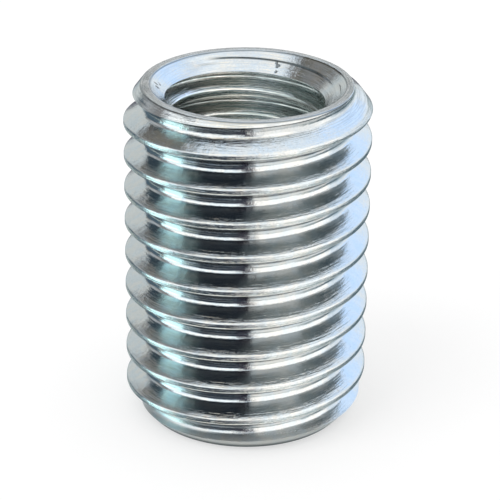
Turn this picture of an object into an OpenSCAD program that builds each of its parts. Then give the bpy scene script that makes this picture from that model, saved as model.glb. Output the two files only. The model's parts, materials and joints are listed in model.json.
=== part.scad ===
// Threaded insert: a zinc-plated steel sleeve with a coarse right-hand thread
// outside and a tapped bore inside. It stands on its lower end face, with its
// axis along +Z and the centre of that face at the origin. Sizes are millimetres.

/* [Sleeve] */
// Length over the two end faces
length = 19.9; // [12:0.1:30]

/* [Outer thread] */
// Diameter over the thread crests
outer_d = 13.95; // [12.6:0.05:20]
// Rise of the thread in one turn
outer_pitch = 2; // [1.25:0.05:2.5]
// Angle between the two flanks of the groove
flank_angle = 60; // [50:1:62]
// Height at which the lowest crest passes the +X side
crest_start = 0.75; // [0:0.01:2]

/* [Bore] */
// Diameter of the bore, over the crests of the inner thread
bore_d = 8.6; // [6:0.1:9.8]

/* [Upper end] */
// Width of the outer chamfer
top_chamfer = 0.97; // [0.3:0.01:1.3]
// Height of the outer chamfer
top_chamfer_h = 1.3; // [0.3:0.01:1.6]
// Width of the flat ring between the chamfer and the countersink
top_land = 0.5; // [0.2:0.01:0.9]

/* [Lower end] */
// Width of the outer chamfer
bottom_chamfer = 1.2; // [0.3:0.01:1.4]
// Height of the outer chamfer
bottom_chamfer_h = 1.35; // [0.3:0.01:1.6]
// Width of the flat ring between the chamfer and the countersink
bottom_land = 0.3; // [0.2:0.01:0.9]

/* [Countersinks] */
// Included angle of the countersink at each end
sink_angle = 100; // [80:1:130]

/* [Hidden] */

// A metric thread keeps an eighth of its pitch as the crest flat
crest_w = outer_pitch / 8;
// Depth of the thread as a share of its pitch
depth_share = 0.6134;
// How far the groove cutter reaches past the crests, where its turns still stay apart
cut_over = crest_w / 4;
// Straight pieces in one turn of the groove
segments = 48;
// Lathe smoothness of the round surfaces
$fn = 96;

outer_r = outer_d / 2;
bore_r = bore_d / 2;
root_r = outer_r - depth_share * outer_pitch;
top_rim_r = outer_r - top_chamfer;
bottom_rim_r = outer_r - bottom_chamfer;
top_sink_r = top_rim_r - top_land;
bottom_sink_r = bottom_rim_r - bottom_land;

zinc = [0.74, 0.78, 0.80];

// Depth of a countersink that narrows from its mouth to the bore
function sink_depth(mouth_r) = (mouth_r - bore_r) / tan(sink_angle / 2);

// The lathe-turned section: bore, countersinks, end faces, chamfers and crest surface
module turned_blank() {
    rotate_extrude()
        polygon([
            [bore_r, sink_depth(bottom_sink_r)],
            [bottom_sink_r, 0],
            [bottom_rim_r, 0],
            [outer_r, bottom_chamfer_h],
            [outer_r, length - top_chamfer_h],
            [top_rim_r, length],
            [top_sink_r, length],
            [bore_r, length - sink_depth(top_sink_r)]
        ]);
}

// Half width of the groove at a radius: it widens outwards by the flank angle
function groove_half(r) = (outer_pitch - crest_w) / 2 - (outer_r - r) * tan(flank_angle / 2);

// Section of the groove as [radius, height], from its lower root corner round to the upper one
function groove_section(rim_r) = [
    [root_r, -groove_half(root_r)],
    [rim_r, -groove_half(rim_r)],
    [rim_r, groove_half(rim_r)],
    [root_r, groove_half(root_r)]
];

// The section carried along a right-hand helix that runs out past both end faces
module groove() {
    section = groove_section(outer_r + cut_over);
    corners = len(section);
    rings = ceil((length / outer_pitch + 3) * segments);
    start_z = crest_start - 1.5 * outer_pitch;
    points = [
        for (i = [0 : rings], corner = section)
            let (turn = i / segments, a = 360 * turn)
            [corner[0] * cos(a), corner[0] * sin(a), start_z + turn * outer_pitch + corner[1]]
    ];
    sides = [
        for (i = [0 : rings - 1], j = [0 : corners - 1])
            let (k = (j + 1) % corners, here = i * corners, next = here + corners)
            each [[here + j, here + k, next + k], [here + j, next + k, next + j]]
    ];
    first_cap = [for (j = [corners - 1 : -1 : 0]) j];
    last_cap = [for (j = [0 : corners - 1]) rings * corners + j];
    polyhedron(points, concat([first_cap], sides, [last_cap]));
}

module insert_body() {
    color(zinc)
        difference() {
            turned_blank();
            groove();
        }
}

insert_body();
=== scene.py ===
"""Looks of a threaded insert: a zinc-plated steel sleeve with one thread outside and a finer one inside.

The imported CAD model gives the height, the outside and the bore. This file cuts both threads, rounds the
edges, finishes the metal and sets up the small studio around it. Lengths are metres, apart from the finish,
whose heights and radii are millimetres.
"""

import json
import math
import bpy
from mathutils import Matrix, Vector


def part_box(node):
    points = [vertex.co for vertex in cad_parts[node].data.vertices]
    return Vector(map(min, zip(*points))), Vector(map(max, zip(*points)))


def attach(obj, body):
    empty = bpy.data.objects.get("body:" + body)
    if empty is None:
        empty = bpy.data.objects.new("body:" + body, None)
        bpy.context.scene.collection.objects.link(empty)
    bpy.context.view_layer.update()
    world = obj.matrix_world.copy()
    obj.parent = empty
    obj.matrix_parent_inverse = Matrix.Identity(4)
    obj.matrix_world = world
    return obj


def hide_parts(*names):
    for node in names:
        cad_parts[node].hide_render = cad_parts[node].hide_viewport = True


bl_info = {
    "name": "Threaded insert",
    "version": (1, 0, 0),
    "blender": (4, 5, 0),
    "location": "3D View > Sidebar > Insert",
    "description": "Builds a zinc-plated threaded insert and a small studio around it",
    "category": "Add Mesh",
}

import bpy
import numpy as np
from mathutils import Matrix, Vector

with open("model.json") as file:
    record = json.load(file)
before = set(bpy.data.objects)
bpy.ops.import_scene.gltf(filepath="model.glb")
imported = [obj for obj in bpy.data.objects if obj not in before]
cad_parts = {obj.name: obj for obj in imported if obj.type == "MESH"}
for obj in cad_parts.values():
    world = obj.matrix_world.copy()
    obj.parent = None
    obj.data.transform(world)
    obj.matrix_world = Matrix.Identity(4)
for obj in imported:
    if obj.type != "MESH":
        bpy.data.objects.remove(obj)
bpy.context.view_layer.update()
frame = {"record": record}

NODE = "insert_body"
MM = 0.001
TURN = 2 * math.pi
# Angle between a thread's flank and the axis
FLANK_ANGLE = math.radians(60)
FLANK_SLOPE = math.tan(FLANK_ANGLE)

_, body_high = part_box(NODE)
bore_mount = next(m for m in frame["record"]["mounts"] if m["name"] == "tapped_bore")


# ---------------------------------------------------------------- settings

def length_property(name, description, default):
    """A length in metres, shown in the scene's unit."""
    return bpy.props.FloatProperty(
        name=name, description=description, default=default, min=0.0,
        subtype="DISTANCE", unit="LENGTH", precision=5)


def colour_property(name, description, default):
    """A linear colour."""
    return bpy.props.FloatVectorProperty(
        name=name, description=description, default=default, size=3, min=0.0, max=1.0,
        subtype="COLOR")


def angle_property(name, description, degrees):
    """An angle, given here in degrees."""
    return bpy.props.FloatProperty(
        name=name, description=description, default=math.radians(degrees),
        subtype="ANGLE", unit="ROTATION")


class SleeveSettings(bpy.types.PropertyGroup):
    """Sizes and finish of the sleeve."""

    height: length_property("Height", "Length over the two end faces", body_high.z)
    outer_radius: length_property("Outer radius", "Radius over the outer crests", body_high.x)
    outer_pitch: length_property("Outer pitch", "Rise of the outer thread in one turn", 2.0 * MM)
    outer_start: length_property("Outer start", "Height of the lowest outer crest at +X", 0.75 * MM)
    outer_root_round: length_property("Outer root", "Radius of the outer thread's root", 0.38 * MM)
    top_chamfer: length_property("Upper chamfer", "Width of the upper chamfer", 0.97 * MM)
    top_chamfer_height: length_property(
        "Upper chamfer height", "Height of the upper chamfer", 1.3 * MM)
    top_land: length_property("Upper land", "Width of the flat ring at the top", 0.5 * MM)
    bottom_chamfer: length_property("Lower chamfer", "Width of the lower chamfer", 1.2 * MM)
    bottom_chamfer_height: length_property(
        "Lower chamfer height", "Height of the lower chamfer", 1.35 * MM)
    bottom_land: length_property("Lower land", "Width of the flat ring at the bottom", 0.3 * MM)
    bore_radius: length_property(
        "Bore radius", "Radius over the inner crests", bore_mount["dims"]["r_mm"] * MM)
    inner_pitch: length_property("Inner pitch", "Rise of the inner thread in one turn", 1.5 * MM)
    inner_start: length_property("Inner start", "Height of the lowest inner crest at +X", 0.84 * MM)
    inner_root_round: length_property("Inner root", "Radius of the inner thread's root", 0.12 * MM)
    sink_angle: angle_property("Countersink", "Included angle of the countersinks", 100)
    edge_round: length_property("Edge rounding", "Reach of the rounded edges of both end faces", 0.05 * MM)
    zinc_colour: colour_property("Zinc", "Colour of the plating", (0.655, 0.695, 0.725))
    stain_colour: colour_property("Stain", "Colour of the plating's warm stains", (0.715, 0.712, 0.70))


class StudioSettings(bpy.types.PropertyGroup):
    """Floor, lamp, reflected cards and camera."""

    floor_colour: colour_property("Floor", "Colour of the floor", (0.97, 0.97, 0.97))
    floor_reach: length_property("Floor reach", "From the sleeve's axis to each side of the floor", 3.0)
    card_distance: length_property("Card distance", "From the sleeve's foot to the reflected cards", 0.5)
    lamp_size: length_property("Lamp size", "Side of the square lamp", 0.3)
    view_elevation: angle_property("View elevation", "Height of the camera above the horizon", 24.655)
    view_distance: length_property("View distance", "From the camera to the point it aims at", 0.12772)
    view_roll: angle_property("View roll", "Turn of the camera about its own line of sight", 0.62)
    aim_side: length_property("Aim to the side", "How far right of the axis the camera aims", 0.19 * MM)
    aim_height: length_property("Aim height", "Height at which the camera aims", 9.70 * MM)


# ---------------------------------------------------------------- shapes

# Points in one turn of each thread
COLUMNS = 168
# Crest flats as shares of the pitch, and the distance over which a crest's corner is rounded
OUTER_FLAT_SHARE = 0.15
INNER_FLAT_SHARE = 0.25
OUTER_CREST_ROUND = 0.10 * MM
INNER_CREST_ROUND = 0.06 * MM
# Rings in each rounded edge of an end face, and its width as a share of its height
EDGE_RINGS = 4
EDGE_WIDTH = 1.5
# Rows this close to an end, as a share of the pitch, are moved onto it
SNAP_SHARE = 0.004
# Edges that bend more than this are shaded sharp
SHARP_ANGLE = math.radians(40)


def smooth_min(a, b, reach):
    """The lesser of a and b, rounded where they meet.

    It is lowered there by (1 - |a - b| / reach) squared, times a quarter of reach.
    """
    near = np.clip(1 - np.abs(a - b) / reach, 0, None)
    return np.minimum(a, b) - near * near * reach / 4


def thread_radius(angle, height, pitch, start, crest, inwards, crest_flat, crest_round, root_round):
    """Radius of a thread at an angle and height.

    The depth below the crest is the distance along the axis to the nearest crest, less half the crest flat,
    times the slope of a flank. Over the crest flat it is zero, with a rounded corner. At the root it follows
    an arc of radius root_round that touches both flanks. It counts inwards (1) or outwards (-1) from the
    crest radius.
    """
    turns = (height - start) / pitch - angle / TURN
    from_crest = np.abs(turns - np.round(turns)) * pitch
    from_root = pitch / 2 - from_crest
    depth = (from_crest - crest_flat / 2) * FLANK_SLOPE
    arc = (pitch - crest_flat) / 2 * FLANK_SLOPE - 2 * root_round
    arc = arc + np.sqrt(np.clip(root_round ** 2 - from_root ** 2, 0, None))
    depth = np.where(from_root < root_round * math.sin(FLANK_ANGLE), arc, depth)
    depth = -smooth_min(-depth, np.zeros_like(depth), crest_round)
    return crest - inwards * depth


def helical_sheet(parts, outward, pitch, start, steps, low, high, columns):
    """Grid on a threaded surface, with rows that climb with the thread.

    Row j of column i stands at start + pitch * (turn_j + i / columns), held between low and high, and its
    radius is the least (outside) or greatest (bore) of the radii that parts give. Where two parts cross, the
    nearest row is moved onto the crossing. The last column of a row meets the first column of the row one
    pitch up. Returns the points, the triangles and the point numbers of the lowest and the highest ring.
    """
    first = math.floor((low - start) / pitch) - 1
    last = math.ceil((high - start) / pitch) + 1
    turns = (np.arange(first, last + 1)[:, None] + steps[None, :]).ravel()
    angle = TURN * np.arange(columns)[:, None] / columns
    height = np.clip(start + pitch * (turns[None, :] + angle / TURN), low, high)
    height = move_to_crossings(parts, angle, height)
    snap = pitch * SNAP_SHARE
    height = np.where(height < low + snap, low, height)
    height = np.where(height > high - snap, high, height)
    radius = combined_radius(parts, angle, height, outward)
    points = np.stack([radius * np.cos(angle), radius * np.sin(angle), height], axis=-1)

    rows = len(turns)
    rise = len(steps)
    row = np.arange(rows)[None, :]
    lowest = np.where(height <= low, row, 0).max(axis=1)
    highest = np.where(height >= high, row, rows).min(axis=1)
    kept_row = np.clip(row, lowest[:, None], highest[:, None])
    number = np.arange(columns)[:, None] * rows + kept_row
    own = rows - rise
    here = number[:, :own]
    beyond = np.concatenate([number[1:, :own], number[:1, rise:]])
    corners = [here[:, :-1], beyond[:, :-1], beyond[:, 1:], here[:, 1:]]

    next_height = np.concatenate([height[1:, :own], height[:1, rise:]])
    next_radius = np.concatenate([radius[1:, :own], radius[:1, rise:]])
    middle = angle + math.pi / columns
    rising = miss(parts, outward, middle, height[:, :own - 1], radius[:, :own - 1],
                  next_height[:, 1:], next_radius[:, 1:])
    falling = miss(parts, outward, middle, height[:, 1:own], radius[:, 1:own],
                   next_height[:, :-1], next_radius[:, :-1])
    triangles = split_quads(corners, rising <= falling)
    if not outward:
        triangles = triangles[:, ::-1]
    rings = [number[:, 0], highest + np.arange(columns) * rows]
    return points.reshape(-1, 3), triangles, rings


def combined_radius(parts, angle, height, outward):
    """Least radius of the parts on the outside, greatest in the bore."""
    radii = np.stack([part(angle, height) for part in parts])
    return radii.min(axis=0) if outward else radii.max(axis=0)


def move_to_crossings(parts, angle, height):
    """Moves the nearest row of each column onto the height at which the thread meets a cone.

    That height is found by a straight line between the rows on either side.
    """
    thread = parts[0]
    for cone in parts[1:]:
        gap = thread(angle, height) - cone(angle, height)
        column, row = np.nonzero((gap[:, :-1] > 0) != (gap[:, 1:] > 0))
        before = gap[column, row]
        after = gap[column, row + 1]
        share = before / (before - after)
        target = row + (share > 0.5)
        meeting = height[column, row] + share * (height[column, row + 1] - height[column, row])
        height[column, target] = meeting
    return height


def miss(parts, outward, angle, height_a, radius_a, height_b, radius_b):
    """How far the middle of a diagonal lies from the true surface."""
    true = combined_radius(parts, angle, (height_a + height_b) / 2, outward)
    return np.abs(true - (radius_a + radius_b) / 2)


def split_quads(corners, along_first):
    """Two triangles for each quad, without those that have shrunk to a line.

    A quad is split from its first corner where along_first says so, and otherwise from its second.
    """
    a, b, c, d = (corner.ravel() for corner in corners)
    first = along_first.ravel()
    lower = np.stack([a, b, np.where(first, c, d)], axis=-1)
    upper = np.stack([np.where(first, a, b), c, d], axis=-1)
    triangles = np.concatenate([lower, upper])
    whole = (triangles[:, 0] != triangles[:, 1]) & (triangles[:, 1] != triangles[:, 2])
    whole &= triangles[:, 2] != triangles[:, 0]
    return triangles[whole]


def bent_corner(start, corner, end):
    """Rings from start to end along (1 - t)^2 start + 2 t (1 - t) corner + t^2 end, without the start."""
    t = (np.arange(1, EDGE_RINGS + 1) / EDGE_RINGS)[:, None, None]
    return (1 - t) ** 2 * start + 2 * t * (1 - t) * corner + t ** 2 * end


def end_ring(outer, inner, angle, edge, height, face):
    """Rings of the end face between the outside and the bore, as points in columns by rings.

    Both edges are rounded over the given distance, and a flat ring lies between them. The bore's edge has
    one ring fewer than the outer one.
    """
    def place(radius, level):
        level = np.full_like(radius, level)
        return np.stack([radius * np.cos(angle), radius * np.sin(angle), level], axis=-1)

    inside = height - face * edge
    outer_start = place(outer(angle, np.full_like(angle, inside)), inside)
    outer_corner_radius = outer(angle, np.full_like(angle, height))
    inner_end = place(inner(angle, np.full_like(angle, inside)), inside)
    inner_corner_radius = inner(angle, np.full_like(angle, height))
    outer_edge = bent_corner(outer_start, place(outer_corner_radius, height),
                             place(outer_corner_radius - EDGE_WIDTH * edge, height))
    middle = place((outer_corner_radius + inner_corner_radius) / 2, height)[None]
    inner_edge = bent_corner(inner_end, place(inner_corner_radius, height),
                             place(inner_corner_radius + EDGE_WIDTH * edge, height))[:0:-1]
    return np.concatenate([outer_edge, middle, inner_edge]).transpose(1, 0, 2)


def ring_triangles(numbers, facing_up):
    """Triangles between rings of point numbers, columns by rings, closed round the axis."""
    here = numbers
    beyond = np.roll(numbers, -1, axis=0)
    corners = [here[:, :-1], beyond[:, :-1], beyond[:, 1:], here[:, 1:]]
    triangles = split_quads(corners, np.ones(corners[0].shape, bool))
    return triangles if facing_up else triangles[:, ::-1]


def sleeve_mesh(s):
    """The whole sleeve as one closed mesh: outside, bore and two end rings, joined at shared points."""
    outer_flat = OUTER_FLAT_SHARE * s.outer_pitch
    inner_flat = INNER_FLAT_SHARE * s.inner_pitch
    top_rim = s.outer_radius - s.top_chamfer
    bottom_rim = s.outer_radius - s.bottom_chamfer
    top_mouth = top_rim - s.top_land
    bottom_mouth = bottom_rim - s.bottom_land
    top_lean = s.top_chamfer / s.top_chamfer_height
    bottom_lean = s.bottom_chamfer / s.bottom_chamfer_height
    widening = math.tan(s.sink_angle / 2)

    def outer_thread(angle, height):
        return thread_radius(angle, height, s.outer_pitch, s.outer_start, s.outer_radius, 1,
                             outer_flat, OUTER_CREST_ROUND, s.outer_root_round)

    def inner_thread(angle, height):
        return thread_radius(angle, height, s.inner_pitch, s.inner_start, s.bore_radius, -1,
                             inner_flat, INNER_CREST_ROUND, s.inner_root_round)

    outer_parts = [
        outer_thread,
        lambda angle, height: top_rim + (s.height - height) * top_lean + 0 * angle,
        lambda angle, height: bottom_rim + height * bottom_lean + 0 * angle,
    ]
    inner_parts = [
        inner_thread,
        lambda angle, height: top_mouth - (s.height - height) * widening + 0 * angle,
        lambda angle, height: bottom_mouth - height * widening + 0 * angle,
    ]

    def outside(angle, height):
        return combined_radius(outer_parts, angle, height, True)

    def bore(angle, height):
        return combined_radius(inner_parts, angle, height, False)

    low = s.edge_round
    high = s.height - s.edge_round
    outer_steps = profile_steps(s.outer_pitch, outer_flat, OUTER_CREST_ROUND, s.outer_root_round,
                                crest_rows=4, flank_rows=4, root_rows=6)
    inner_steps = profile_steps(s.inner_pitch, inner_flat, INNER_CREST_ROUND, s.inner_root_round,
                                crest_rows=3, flank_rows=1, root_rows=4)
    outer_points, outer_triangles, outer_rings = helical_sheet(
        outer_parts, True, s.outer_pitch, s.outer_start, outer_steps, low, high, COLUMNS)
    inner_points, inner_triangles, inner_rings = helical_sheet(
        inner_parts, False, s.inner_pitch, s.inner_start, inner_steps, low, high, COLUMNS)
    first_inner = len(outer_points)
    points = [outer_points, inner_points]
    triangles = [outer_triangles, inner_triangles + first_inner]
    count = len(outer_points) + len(inner_points)
    angle = TURN * np.arange(COLUMNS) / COLUMNS
    for face, height, outer_ring, inner_ring in (
        (1, s.height, outer_rings[1], inner_rings[1]),
        (-1, 0.0, outer_rings[0], inner_rings[0]),
    ):
        rings = end_ring(outside, bore, angle, s.edge_round, height, face)
        numbers = count + np.arange(rings.shape[0] * rings.shape[1]).reshape(rings.shape[:2])
        count += numbers.size
        numbers = np.concatenate(
            [outer_ring[:, None], numbers, inner_ring[:, None] + first_inner], axis=1)
        points.append(rings.reshape(-1, 3))
        triangles.append(ring_triangles(numbers, face > 0))
    return np.concatenate(points), np.concatenate(triangles)


def profile_steps(pitch, crest_flat, crest_round, root_round, crest_rows, flank_rows, root_rows):
    """Rows of one pitch, as shares of it from a crest centre.

    They lie close together round the crest's corner and the root's arc, and evenly spread along the flanks.
    """
    reach = crest_round / FLANK_SLOPE
    crest = crest_flat / 2 + np.linspace(-reach, reach, crest_rows)
    root_angle = np.linspace(FLANK_ANGLE, 0, root_rows)
    root = pitch / 2 - root_round * np.sin(root_angle)
    flank = np.linspace(crest[-1], root[0], flank_rows + 2)[1:-1]
    half = np.concatenate([[0.0], crest, flank, root]) / pitch
    return np.concatenate([half, 1 - half[-2:0:-1]])


def add_mesh(name, points, triangles):
    """Makes an object from points and triangles, leaving out the points that no triangle uses."""
    used, compact = np.unique(triangles, return_inverse=True)
    mesh = bpy.data.meshes.new(name)
    mesh.from_pydata(points[used], [], compact.reshape(triangles.shape))
    mesh.update()
    piece = bpy.data.objects.new(name, mesh)
    bpy.context.scene.collection.objects.link(piece)
    return piece


# ---------------------------------------------------------------- materials

class Nodes:
    """A short way to write a node tree: each call adds a node and gives back its output socket."""

    def __init__(self, tree):
        self.tree = tree
        tree.nodes.clear()

    def add(self, kind, inputs=(), output=0, **settings):
        """Adds a node, sets its attributes, and fills or links its inputs from (socket, value) pairs."""
        node = self.tree.nodes.new(kind)
        for key, value in settings.items():
            setattr(node, key, value)
        for socket, value in inputs:
            if isinstance(value, bpy.types.NodeSocket):
                self.tree.links.new(value, node.inputs[socket])
            else:
                node.inputs[socket].default_value = value
        return node.outputs[output] if len(node.outputs) else node

    def math(self, operation, *values):
        """A sum, product or function of numbers."""
        return self.add("ShaderNodeMath", enumerate(values), operation=operation)

    def vector(self, operation, *values):
        """A vector worked out from vectors."""
        return self.add("ShaderNodeVectorMath", enumerate(values), operation=operation)

    def measure(self, operation, *values):
        """A number worked out from vectors, such as a length or a distance."""
        return self.add("ShaderNodeVectorMath", enumerate(values), output="Value", operation=operation)

    def scaled(self, vector, factor):
        """A vector or colour times a number."""
        return self.add("ShaderNodeVectorMath", [(0, vector), ("Scale", factor)], operation="SCALE")

    def combine(self, x, y, z):
        """A vector from three numbers."""
        return self.add("ShaderNodeCombineXYZ", [(0, x), (1, y), (2, z)])

    def total(self, base, *parts):
        """The base plus the product of each pair."""
        for value, share in parts:
            base = self.math("MULTIPLY_ADD", value, share, base)
        return base

    def noise(self, vector, scale, detail=2.0, roughness=0.5, w=None, output=0):
        """Noise from 0 to 1; with w it is read in four dimensions."""
        inputs = [("Vector", vector), ("Scale", scale), ("Detail", detail), ("Roughness", roughness)]
        if w is not None:
            inputs.append(("W", w))
        dimensions = "3D" if w is None else "4D"
        return self.add("ShaderNodeTexNoise", inputs, output, noise_dimensions=dimensions)

    def spread(self, value, low, high, to_low=0.0, to_high=1.0):
        """Maps low..high to to_low..to_high with a smooth step, held at both ends."""
        return self.add("ShaderNodeMapRange", [
            ("Value", value), ("From Min", low), ("From Max", high),
            ("To Min", to_low), ("To Max", to_high)], interpolation_type="SMOOTHSTEP")

    def mix(self, share, first, second):
        """Mixes two colours."""
        return self.add("ShaderNodeMix", [(0, share), (6, first), (7, second)], output=2, data_type="RGBA")


def new_material(name):
    """An empty node material and the writer of its tree."""
    material = bpy.data.materials.new(name)
    material.use_nodes = True
    return material, Nodes(material.node_tree)


# ---------------------------------------------------------------- zinc finish

# All lengths of this section are in millimetres. A depth is measured down from the upper face, and a pair of
# numbers is where a zone begins and ends.

# The outside begins this far out on the upper flat ring; the countersinks and the bore lie within
OUTSIDE_START = 0.045
# Zones by depth: the polished face, the painted shade lines along its edges, the worn end of the outside,
# the dented rim, the countersink and the bore
FACE_DEPTHS = (0.04, 0.12)
RIM_SHADE_DEPTHS = (0.06, 0.12)
WORN_DEPTHS = (0.7, 1.2)
RIM_DEPTHS = (0.7, 2.5)
SINK_DEPTHS = (0.9, 1.0)
BORE_DEPTHS = (0.95, 1.2)
# Zones by height above the lower face: the foot, darkened with painted shade, and the dull lowest thread
SHADED_FOOT_HEIGHTS = (0.12, 0.50)
LOWEST_THREAD = (0.7, 1.3)
# How far inwards from the crests the zone beside them reaches
CREST_INSETS = (0.055, 0.775)
# How steeply a face has to look down to belong to the underside: the upright part of its normal
UNDERSIDE_SLOPES = (-0.80, -0.55)
# Across the bore, from left to right: where painted shade on its cutting marks begins and where it is full,
# and where it turns smooth
BORE_SHADE_RANGE = (-0.2, 3.4)
BORE_SMOOTH = (-0.5, 2.8)
# Middle of the bore's warm painted highlights, and how far from it they fade out
WARM_HIGHLIGHT_MIDDLE = -1.5
WARM_HIGHLIGHT_REACH = (0.6, 2.2)

# How quickly the cutting marks change along the thread, outside and in the bore, and from turn to turn, and
# the radius of the ring on which they are read round the thread's section
MARKS_ALONG = (0.45, 0.23)
MARKS_UPWARDS = 0.5
MARKS_ACROSS = 4.0
# How quickly the turning rings change round the axis and along the radius
RINGS_ALONG = 0.55
RINGS_ACROSS = 13.0

# Height of the relief that one unit of the patterns stands for
RELIEF = 0.020
NICK_DEPTH = 2.5
# Where the inner thread runs out into the upper countersink: the depth of its line at +X, and the line's
# rise in one turn
RUN_OUT_DEPTH = 0.559
RUN_OUT_RISE = 0.888
# Steps along that line: height above it, depth, first and last angle
RUN_OUTS = ((0.0, 3.0, 8, 122), (-0.20, 1.4, 96, 134))
# Angles over which a step fades in and out
RUN_OUT_FADES = (30, 16)
# Half the height over which a step climbs, how far below its middle the painted shade line lies, and how far
# from the line it fades out
RUN_OUT_HALF = 0.03
RUN_OUT_LINE_DROP = 0.01
RUN_OUT_LINE_REACH = (0.02, 0.07)
# Depth of the step whose painted shade line is fully dark
RUN_OUT_DEEPEST = 3.0
# How far the painted shade lines lie outside the upper flat ring's inner and outer edge, and how far from
# its middle each one fades out
RIM_SHADE_SHIFTS = (-0.025, 0.005)
RIM_SHADE_REACH = (0.01, 0.07)
# Nicks in the upper countersink: angle, radius, depth, size
NICKS = (
    (71.0, 4.93, 0.48, 0.12),
    (70.2, 4.85, 0.55, 0.15),
    (69.3, 4.78, 0.61, 0.12),
    (69.6, 4.50, 0.85, 0.12),
    (174, 5.17, 0.28, 0.16),
    (178, 5.08, 0.36, 0.14),
    (171, 5.02, 0.40, 0.12),
)
# Share of its size that is a nick's full depth, and how far noise moves its outline
NICK_CORE = 0.4
NICK_JITTER = 0.36

# Linear colours of the metal, apart from the two in the settings
# Painted shade and painted highlight on the bore's cutting marks, painted shade on its right side, and warm
# painted highlights
BORE_MARK_SHADE = (0.50, 0.60, 0.59, 1.0)
BORE_MARK_HIGHLIGHT = (1.0, 1.0, 1.0, 1.0)
BORE_SIDE_SHADE = (0.30, 0.37, 0.36, 1.0)
BORE_WARM_HIGHLIGHT = (1.0, 0.93, 0.85, 1.0)
TURNED_DARK = (0.44, 0.45, 0.46, 1.0)
TURNED_BRIGHT = (0.76, 0.76, 0.75, 1.0)
# Painted shade on the outer faces that look down
UNDERSIDE_SHADE = (0.34, 0.36, 0.37, 1.0)
# Dark colour of the painted shade in lines, nicks and at the foot
SHADE_COLOUR = (0.06, 0.08, 0.09, 1.0)


class SleeveZones:
    """Where a point of the sleeve lies: its coordinates, and its share (0 to 1) in each zone."""

    def __init__(self, n, s):
        self.top = s.height / MM
        self.rim_edges = ((s.outer_radius - s.top_chamfer - s.top_land) / MM,
                          (s.outer_radius - s.top_chamfer) / MM)
        self.place = n.scaled(n.add("ShaderNodeTexCoord", output="Object"), 1 / MM)
        self.x, self.y, self.z = n.add("ShaderNodeSeparateXYZ", [(0, self.place)]).node.outputs
        self.depth = n.math("SUBTRACT", self.top, self.z)
        self.angle = n.math("ARCTAN2", self.y, self.x)
        self.radius = n.measure("LENGTH", n.vector("MULTIPLY", self.place, (1.0, 1.0, 0.0)))
        inset = n.math("SUBTRACT", s.outer_radius / MM, self.radius)
        self.outside = n.math("GREATER_THAN", self.radius, self.rim_edges[0] + OUTSIDE_START)
        self.inside = n.math("SUBTRACT", 1.0, self.outside)
        self.in_bore = n.math("MULTIPLY", n.spread(self.depth, *BORE_DEPTHS), self.inside)
        self.at_rim = n.spread(self.depth, *RIM_DEPTHS, 1.0, 0.0)
        self.near_crest = n.math("MULTIPLY", n.spread(inset, *CREST_INSETS, 1.0, 0.0), self.outside)
        facing = n.add("ShaderNodeTexCoord", output="Normal")
        facing_up = n.add("ShaderNodeSeparateXYZ", [(0, facing)], output="Z")
        looks_down = n.spread(facing_up, *UNDERSIDE_SLOPES, 1.0, 0.0)
        self.underside = n.math("MULTIPLY", looks_down, self.outside)


class CutPatterns:
    """The noises that the tools have left in the metal, each from 0 to 1."""

    def __init__(self, n, at, s):
        # Cutting marks: noise on a ring round the thread's section, drawn out along the thread
        pitch = n.total(s.inner_pitch / MM, (at.outside, (s.outer_pitch - s.inner_pitch) / MM))
        phase = n.math("SUBTRACT", n.math("DIVIDE", n.math("MULTIPLY", at.z, TURN), pitch), at.angle)
        outside_along, bore_along = MARKS_ALONG
        along = n.total(outside_along, (at.inside, bore_along - outside_along))
        drawn_out = n.combine(
            n.total(n.math("MULTIPLY", at.x, along), (at.z, MARKS_UPWARDS)),
            n.math("MULTIPLY", at.y, along),
            n.math("MULTIPLY", n.math("COSINE", phase), MARKS_ACROSS))
        self.marks = n.noise(drawn_out, scale=1.0, detail=4.0, roughness=0.65,
                             w=n.math("MULTIPLY", n.math("SINE", phase), MARKS_ACROSS))
        # Turning rings: noise that changes quickly with the radius
        ringed = n.combine(
            n.math("MULTIPLY", at.x, RINGS_ALONG),
            n.math("MULTIPLY", at.y, RINGS_ALONG),
            n.math("MULTIPLY", at.radius, RINGS_ACROSS))
        self.rings = n.noise(ringed, scale=1.0, detail=3.0, roughness=0.6)
        self.grain = n.noise(at.place, scale=11.0, detail=3.0, roughness=0.6)
        # Wear: soft dents on the rim and its first thread
        self.wear = n.noise(at.place, scale=2.2, detail=4.0, roughness=0.6)
        # Waves of the rolled flanks: slow noise that bends the reflections' edges
        self.waves = n.noise(at.place, scale=0.9)
        # Stains: slow noise that changes the plating's colour
        self.stains = n.noise(at.place, scale=1.3, detail=4.0, roughness=0.6)


def run_out_marks(n, at):
    """Steps along the thread's run-out in the countersink, as bump heights, and the painted shade line at
    their feet.

    A step climbs where the depth passes RUN_OUT_DEPTH - RUN_OUT_RISE * angle / one turn, and fades out
    towards its first and last angle.
    """
    line = n.total(RUN_OUT_DEPTH, (at.angle, -RUN_OUT_RISE / TURN))
    above = n.math("SUBTRACT", line, at.depth)
    fade_in, fade_out = RUN_OUT_FADES
    steps = 0.0
    lines = 0.0
    for offset, depth, first, last in RUN_OUTS:
        fade = n.math(
            "MULTIPLY", n.spread(at.angle, math.radians(first), math.radians(first + fade_in)),
            n.spread(at.angle, math.radians(last - fade_out), math.radians(last), 1.0, 0.0))
        fade = n.math("MULTIPLY", fade, at.inside)
        step = n.spread(above, offset - RUN_OUT_HALF, offset + RUN_OUT_HALF, 0.0, depth)
        steps = n.total(steps, (step, fade))
        away = n.math("ABSOLUTE", n.math("SUBTRACT", above, offset - RUN_OUT_LINE_DROP))
        strength = n.math("MULTIPLY", fade, depth / RUN_OUT_DEEPEST)
        lines = n.total(lines, (n.spread(away, *RUN_OUT_LINE_REACH, 1.0, 0.0), strength))
    return steps, lines


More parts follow.
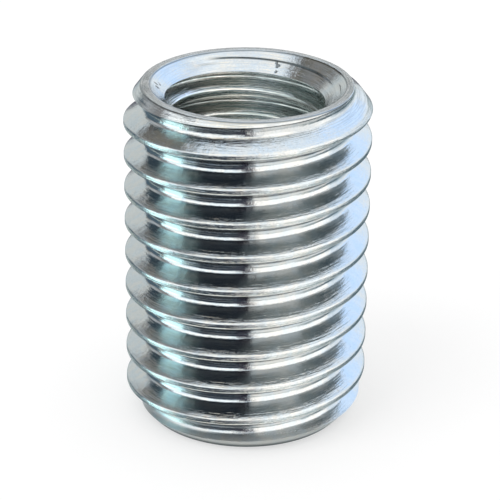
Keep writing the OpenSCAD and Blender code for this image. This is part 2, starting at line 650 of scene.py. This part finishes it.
def nick_marks(n, at):
    """One inside a nick and zero elsewhere: distance to the nearest nick's centre, roughened by noise."""
    colours = n.noise(at.place, scale=6.0, detail=3.0, output="Color")
    jitter = n.vector("SUBTRACT", colours, (0.5, 0.5, 0.5))
    moved = n.vector("ADD", at.place, n.scaled(jitter, NICK_JITTER))
    nicks = 0.0
    for degrees, radius, depth, size in NICKS:
        angle = math.radians(degrees)
        centre = (radius * math.cos(angle), radius * math.sin(angle), at.top - depth)
        away = n.measure("DISTANCE", moved, centre)
        nicks = n.math("MAXIMUM", n.spread(away, size * NICK_CORE, size, 1.0, 0.0), nicks)
    return nicks


def rim_shade_lines(n, at):
    """Painted shade lines along the two edges of the upper rim."""
    edges = 0.0
    for edge, shift in zip(at.rim_edges, RIM_SHADE_SHIFTS):
        away = n.math("ABSOLUTE", n.math("SUBTRACT", at.radius, edge + shift))
        edges = n.math("MAXIMUM", n.spread(away, *RIM_SHADE_REACH, 0.7, 0.0), edges)
    return n.math("MULTIPLY", edges, n.spread(at.depth, *RIM_SHADE_DEPTHS, 1.0, 0.0))


def zinc_relief(n, at, cut, steps, nicks):
    """The bump normal: each pattern times its share, which changes from zone to zone."""
    mark_share = n.total(0.45, (at.near_crest, 1.2), (at.in_bore, 0.9))
    ring_share = n.total(0.25, (at.at_rim, 0.6))
    grain_share = n.total(0.24, (at.near_crest, 0.15), (at.in_bore, -0.18))
    wear_share = n.math("MULTIPLY", at.at_rim, 0.9)
    wave_share = n.math("MULTIPLY", at.outside, 1.6)
    height = n.total(
        steps, (cut.marks, mark_share), (cut.rings, ring_share), (cut.grain, grain_share),
        (cut.wear, wear_share), (cut.waves, wave_share), (nicks, -NICK_DEPTH))
    return n.add("ShaderNodeBump", [("Strength", 1.0), ("Distance", RELIEF * MM), ("Height", height)])


def bore_marks_and_painted_light(n, at, cut):
    """Cutting marks painted with highlights and shade: warm painted highlights left of the middle, and
    painted shade towards the right.
    """
    colour = n.mix(n.spread(cut.marks, 0.40, 0.54), BORE_MARK_SHADE, BORE_MARK_HIGHLIGHT)
    colour = n.mix(n.spread(at.x, *BORE_SHADE_RANGE, 0.0, 0.60), colour, BORE_SIDE_SHADE)
    off_middle = n.math("ABSOLUTE", n.math("SUBTRACT", at.x, WARM_HIGHLIGHT_MIDDLE))
    warm = n.math("MULTIPLY", n.spread(off_middle, *WARM_HIGHLIGHT_REACH, 0.75, 0.0), n.spread(cut.marks, 0.44, 0.52))
    return n.mix(warm, colour, BORE_WARM_HIGHLIGHT)


def zinc_tint(n, at, cut, s, lines, nicks):
    """Plating with stains, the bore's marks with painted highlights and shade, the turned end, and painted
    shade in lines, in nicks, under the flanks and at the foot.
    """
    colour = n.mix(n.spread(cut.stains, 0.38, 0.62), (*s.zinc_colour, 1.0), (*s.stain_colour, 1.0))
    # The bore's cutting marks with painted highlights and painted shade
    colour = n.mix(at.in_bore, colour, bore_marks_and_painted_light(n, at, cut))

    turned = n.mix(n.spread(cut.rings, 0.36, 0.62), TURNED_DARK, TURNED_BRIGHT)
    face = n.spread(at.depth, *FACE_DEPTHS, 0.75, 0.0)
    sink = n.math("MULTIPLY", n.spread(at.depth, *SINK_DEPTHS, 0.20, 0.0), at.inside)
    worn = n.math("MULTIPLY", n.spread(at.depth, *WORN_DEPTHS, 0.55, 0.0), at.outside)
    colour = n.mix(n.math("MAXIMUM", n.math("MAXIMUM", face, sink), worn), colour, turned)

    lines = n.math("MAXIMUM", lines, rim_shade_lines(n, at))
    # Painted shade in the run-out and rim lines and in the nicks
    dark = n.math("MAXIMUM", n.math("MULTIPLY", nicks, 0.75), n.math("MULTIPLY", lines, 0.9))
    colour = n.mix(dark, colour, SHADE_COLOUR)
    colour = n.scaled(colour, n.spread(cut.grain, 0.30, 0.70, 0.96, 1.04))
    # Painted shade on the outer faces that look down
    colour = n.mix(at.underside, colour, UNDERSIDE_SHADE)
    # Painted shade at the foot of the outside
    foot = n.math("MULTIPLY", n.spread(at.z, *SHADED_FOOT_HEIGHTS, 0.95, 0.0), at.outside)
    return n.mix(foot, colour, SHADE_COLOUR)


def zinc_roughness(n, at, cut):
    """Polished, a little duller under the flanks and in the left half of the bore, and dull at the foot."""
    dull_foot = n.spread(at.z, *LOWEST_THREAD, 0.34, 0.0)
    dull_bore = n.spread(at.x, *BORE_SMOOTH, 0.10, 0.01)
    return n.total(
        n.spread(cut.grain, 0.3, 0.7, 0.05, 0.10),
        (at.underside, 0.05), (at.outside, dull_foot), (at.in_bore, dull_bore))


def zinc_material(s):
    """Bright zinc plating on cut threads and turned faces."""
    material, n = new_material("zinc_plating")
    at = SleeveZones(n, s)
    cut = CutPatterns(n, at, s)
    steps, lines = run_out_marks(n, at)
    nicks = nick_marks(n, at)
    shader = n.add("ShaderNodeBsdfPrincipled", [
        ("Base Color", zinc_tint(n, at, cut, s, lines, nicks)),
        ("Metallic", 1.0),
        ("Roughness", zinc_roughness(n, at, cut)),
        ("Normal", zinc_relief(n, at, cut, steps, nicks))])
    n.add("ShaderNodeOutputMaterial", [("Surface", shader)])
    return material


# ---------------------------------------------------------------- studio

# Lens and film width in millimetres
LENS = 160.0
FILM_WIDTH = 36.0
# Nearest and farthest distance that the camera shows
CLIP = (0.005, 20.0)
LAMP_PLACE = (-0.25, -0.2, 0.45)
LAMP_POWER = 0.7
# The floor lies this far below height zero
FLOOR_DROP = 0.01 * MM
# Share of the floor's shading that is lifted to white for the camera
SHADOW_LIFT = 0.55
# Points round and up the ball of light cards, one for each degree
CARD_GRID = (360, 180)
SKY = (1.03, 1.13, 1.22)
# Light cards that only the metal's reflections see: azimuth range, elevation range, softness of the edges
# across and up, and colour. Azimuth 0 is the side of the camera and +90 the right. A later card covers an
# earlier one.
LIGHT_CARDS = (
    # The table: dark in front, lighter on the right
    ((-180, 180), (-90, 2), 4, 10, (0.48, 0.57, 0.60)),
    ((-150, -104), (-90, 18), 10, 8, (0.10, 0.15, 0.19)),
    ((-80, -50), (-90, -6), 12, 6, (0.10, 0.16, 0.18)),
    ((-56, 4), (-90, 8), 12, 6, (0.030, 0.044, 0.062)),
    ((4, 30), (-90, -28), 24, 3, (0.24, 0.28, 0.28)),
    ((24, 100), (-90, -28), 24, 3, (0.52, 0.59, 0.57)),
    ((-180, 180), (-90, -56), 4, 8, (1.55, 1.52, 1.36)),
    ((130, 230), (-84, -46), 10, 8, (0.46, 0.48, 0.49)),
    ((-58, -2), (-29, -19), 8, 5, (0.18, 0.19, 0.20)),
    # Back: a dark wall on the left with a pale gap beside it, and a grey foot of the wall
    ((-140, -97), (12, 60.5), 8, 3, (0.16, 0.16, 0.13)),
    ((-110, -72), (42, 60), 5, 5, (0.19, 0.185, 0.18)),
    ((-128, -98), (15, 50), 8, 8, (0.30, 0.305, 0.31)),
    ((-136, -114), (14, 34), 6, 6, (0.50, 0.53, 0.55)),
    ((-166, -130), (36, 60), 6, 6, (0.21, 0.20, 0.17)),
    ((-166, -136), (30, 37), 6, 3, (0.09, 0.08, 0.075)),
    ((-200, -139), (-6, 30), 6, 3, (0.68, 0.73, 0.73)),
    ((166, 194), (8, 27), 5, 5, (0.80, 0.82, 0.83)),
    ((166, 194), (20.6, 27), 5, 2, (0.32, 0.34, 0.33)),
    ((166, 194), (-40, 6), 5, 6, (0.12, 0.12, 0.15)),
    # Left: a turquoise patch, then bright
    ((-102, -75), (-34, 4), 10, 8, (1.54, 2.42, 2.46)),
    ((-160, -60), (-28, -20), 8, 3, (0.66, 0.75, 0.70)),
    ((-92, -9), (14, 42), 5, 5, (1.42, 1.46, 1.44)),
    # Front: the dark of the camera
    ((-9, 5), (-32, 40), 2, 6, (0.045, 0.040, 0.060)),
    ((-75, 75), (52, 70), 8, 8, (1.50, 1.40, 1.20)),
    # Right: a white window, a blue sky and a dark table edge
    ((5, 66), (-27.5, 62), 2, 2, (1.46, 1.46, 1.42)),
    ((66, 100), (-8, 62), 4, 8, (1.45, 1.45, 1.42)),
    ((60, 86), (-30, -8), 14, 5, (0.46, 0.52, 0.52)),
    ((82, 160), (-32, -8), 18, 5, (0.12, 0.18, 0.21)),
    ((96, 128), (-8, 12), 8, 8, (0.60, 0.72, 0.80)),
    ((96, 170), (8, 64), 10, 10, (0.99, 1.08, 1.16)),
    ((124, 166), (22, 60), 7, 6, (0.84, 1.08, 1.42)),
)


def soft_range(value, low, high, softness):
    """One inside a range of degrees and none outside, with a smooth step of the given width at each end."""
    middle = (low + high) / 2
    away = np.abs((value - middle + 180) % 360 - 180)
    share = np.clip((high - low) / 2 / softness - away / softness + 0.5, 0, 1)
    return share * share * (3 - 2 * share)


def paint_over(colour, share, paint):
    """Covers a share of the colour with paint."""
    return colour + share[..., None] * (np.asarray(paint) - colour)


def card_material():
    """Plain light of the colour that the card's mesh carries."""
    material, n = new_material("studio_card")
    paint = n.add("ShaderNodeAttribute", output="Color", attribute_name="card_colour")
    light = n.add("ShaderNodeEmission", [("Color", paint), ("Strength", 1.0)])
    n.add("ShaderNodeOutputMaterial", [("Surface", light)])
    material.cycles.emission_sampling = "NONE"
    return material


def add_card(name, points, colour, material):
    """A grid of points, columns by rows and closed round the axis, that only the metal's reflections see."""
    numbers = np.arange(points.shape[0] * points.shape[1]).reshape(points.shape[:2])
    card = add_mesh(name, points.reshape(-1, 3), ring_triangles(numbers, True))
    layer = card.data.color_attributes.new("card_colour", "FLOAT_COLOR", "POINT")
    rgba = np.concatenate([colour, np.ones(colour.shape[:-1] + (1,))], axis=-1)
    layer.data.foreach_set("color", rgba.astype(np.float32).ravel())
    card.data.shade_smooth()
    card.data.materials.append(material)
    for ray in ("camera", "diffuse", "transmission", "volume_scatter", "shadow"):
        setattr(card, "visible_" + ray, False)


def add_light_cards(radius, material):
    """A ball round the sleeve: each direction's colour is the sky with the cards painted over it."""
    columns, rows = CARD_GRID
    step = 180 / rows
    azimuths = np.linspace(-180, 180, columns, endpoint=False)
    elevations = np.linspace(-90 + step / 2, 90 - step / 2, rows)
    azimuth, elevation = np.meshgrid(azimuths, elevations, indexing="ij")
    colour = np.ones(azimuth.shape + (3,)) * SKY
    for (left, right), (low, high), across, up, paint in LIGHT_CARDS:
        share = soft_range(azimuth, left, right, across) * soft_range(elevation, low, high, up)
        colour = paint_over(colour, share, paint)
    a = np.radians(azimuth)
    e = np.radians(elevation)
    points = radius * np.stack([np.sin(a) * np.cos(e), -np.cos(a) * np.cos(e), np.sin(e)], axis=-1)
    add_card("light_cards", points, colour, material)


def floor_material(colour):
    """Matt white paper, whose shadow is lifted towards white for the camera."""
    material, n = new_material("studio_floor")
    paper = n.add("ShaderNodeBsdfDiffuse", [("Color", (*colour, 1.0))])
    white = n.add("ShaderNodeEmission", [("Color", (1.0, 1.0, 1.0, 1.0)), ("Strength", 1.0)])
    lift = n.math("MULTIPLY", n.add("ShaderNodeLightPath", output="Is Camera Ray"), SHADOW_LIFT)
    shader = n.add("ShaderNodeMixShader", [(0, lift), (1, paper), (2, white)])
    n.add("ShaderNodeOutputMaterial", [("Surface", shader)])
    return material


def add_floor(reach, colour):
    """A square floor, a hair below height zero so that it doesn't coincide with the sleeve's lower face."""
    signs = ((-1, -1), (1, -1), (1, 1), (-1, 1))
    corners = np.array([(reach * x, reach * y, -FLOOR_DROP) for x, y in signs])
    floor = add_mesh("floor", corners, np.array([(0, 1, 2), (0, 2, 3)]))
    floor.data.materials.append(floor_material(colour))
    floor.visible_glossy = False


def add_lamp(name, place, size, power):
    """A square soft lamp that looks at the sleeve and isn't seen in its reflections."""
    data = bpy.data.lights.new(name, "AREA")
    data.shape = "SQUARE"
    data.size = size
    data.energy = power
    lamp = bpy.data.objects.new(name, data)
    lamp.location = place
    lamp.rotation_euler = (-Vector(place)).to_track_quat("-Z", "Y").to_euler()
    lamp.visible_glossy = False
    lamp.visible_camera = False
    bpy.context.scene.collection.objects.link(lamp)


def add_world():
    """A plain white world."""
    world = bpy.data.worlds.new("studio")
    bpy.context.scene.world = world
    world.use_nodes = True
    n = Nodes(world.node_tree)
    sky = n.add("ShaderNodeBackground", [("Color", (1.0, 1.0, 1.0, 1.0)), ("Strength", 1.0)])
    n.add("ShaderNodeOutputWorld", [("Surface", sky)])


def add_camera(s):
    """A long lens that looks down on the sleeve."""
    aim = Vector((s.aim_side, 0, s.aim_height))
    back = Vector((0, -math.cos(s.view_elevation), math.sin(s.view_elevation)))
    data = bpy.data.cameras.new("camera")
    data.sensor_width = FILM_WIDTH
    data.lens = LENS
    data.clip_start, data.clip_end = CLIP
    camera = bpy.data.objects.new("camera", data)
    camera.location = aim + back * s.view_distance
    turn = back.to_track_quat("Z", "Y").to_matrix() @ Matrix.Rotation(s.view_roll, 3, "Z")
    camera.rotation_euler = turn.to_euler()
    bpy.context.scene.collection.objects.link(camera)
    bpy.context.scene.camera = camera


# ---------------------------------------------------------------- operators and panel

class INSERT_OT_sleeve(bpy.types.Operator):
    """Build the threaded sleeve with its zinc finish"""

    bl_idname = "insert.sleeve"
    bl_label = "Build sleeve"

    def execute(self, context):
        s = context.scene.insert_sleeve
        sleeve = add_mesh("threaded_sleeve", *sleeve_mesh(s))
        sleeve.data.shade_smooth()
        sleeve.data.set_sharp_from_angle(angle=SHARP_ANGLE)
        sleeve.data.materials.append(zinc_material(s))
        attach(sleeve, "root")
        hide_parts(NODE)
        return {"FINISHED"}


class INSERT_OT_studio(bpy.types.Operator):
    """Set up the floor, the reflected cards, the lamp and the camera"""

    bl_idname = "insert.studio"
    bl_label = "Set up studio"

    def execute(self, context):
        s = context.scene.insert_studio
        context.scene.view_settings.view_transform = "Standard"
        add_floor(s.floor_reach, s.floor_colour)
        add_light_cards(s.card_distance, card_material())
        add_lamp("key_lamp", LAMP_PLACE, s.lamp_size, LAMP_POWER)
        add_world()
        add_camera(s)
        return {"FINISHED"}


class INSERT_PT_panel(bpy.types.Panel):
    """The insert's operators and settings"""

    bl_label = "Threaded insert"
    bl_idname = "INSERT_PT_panel"
    bl_space_type = "VIEW_3D"
    bl_region_type = "UI"
    bl_category = "Insert"

    def draw(self, context):
        for operator, group in (
            (INSERT_OT_sleeve, context.scene.insert_sleeve),
            (INSERT_OT_studio, context.scene.insert_studio),
        ):
            box = self.layout.box()
            box.operator(operator.bl_idname)
            for name in group.bl_rna.properties.keys():
                if name not in ("rna_type", "name"):
                    box.prop(group, name)


CLASSES = (SleeveSettings, StudioSettings, INSERT_OT_sleeve, INSERT_OT_studio, INSERT_PT_panel)


def register():
    for item in CLASSES:
        bpy.utils.register_class(item)
    bpy.types.Scene.insert_sleeve = bpy.props.PointerProperty(type=SleeveSettings)
    bpy.types.Scene.insert_studio = bpy.props.PointerProperty(type=StudioSettings)


def unregister():
    del bpy.types.Scene.insert_studio
    del bpy.types.Scene.insert_sleeve
    for item in reversed(CLASSES):
        bpy.utils.unregister_class(item)


def main():
    """Builds everything."""
    register()
    bpy.ops.insert.sleeve()
    bpy.ops.insert.studio()
    bpy.context.view_layer.update()


if __name__ == "__main__":
    main()
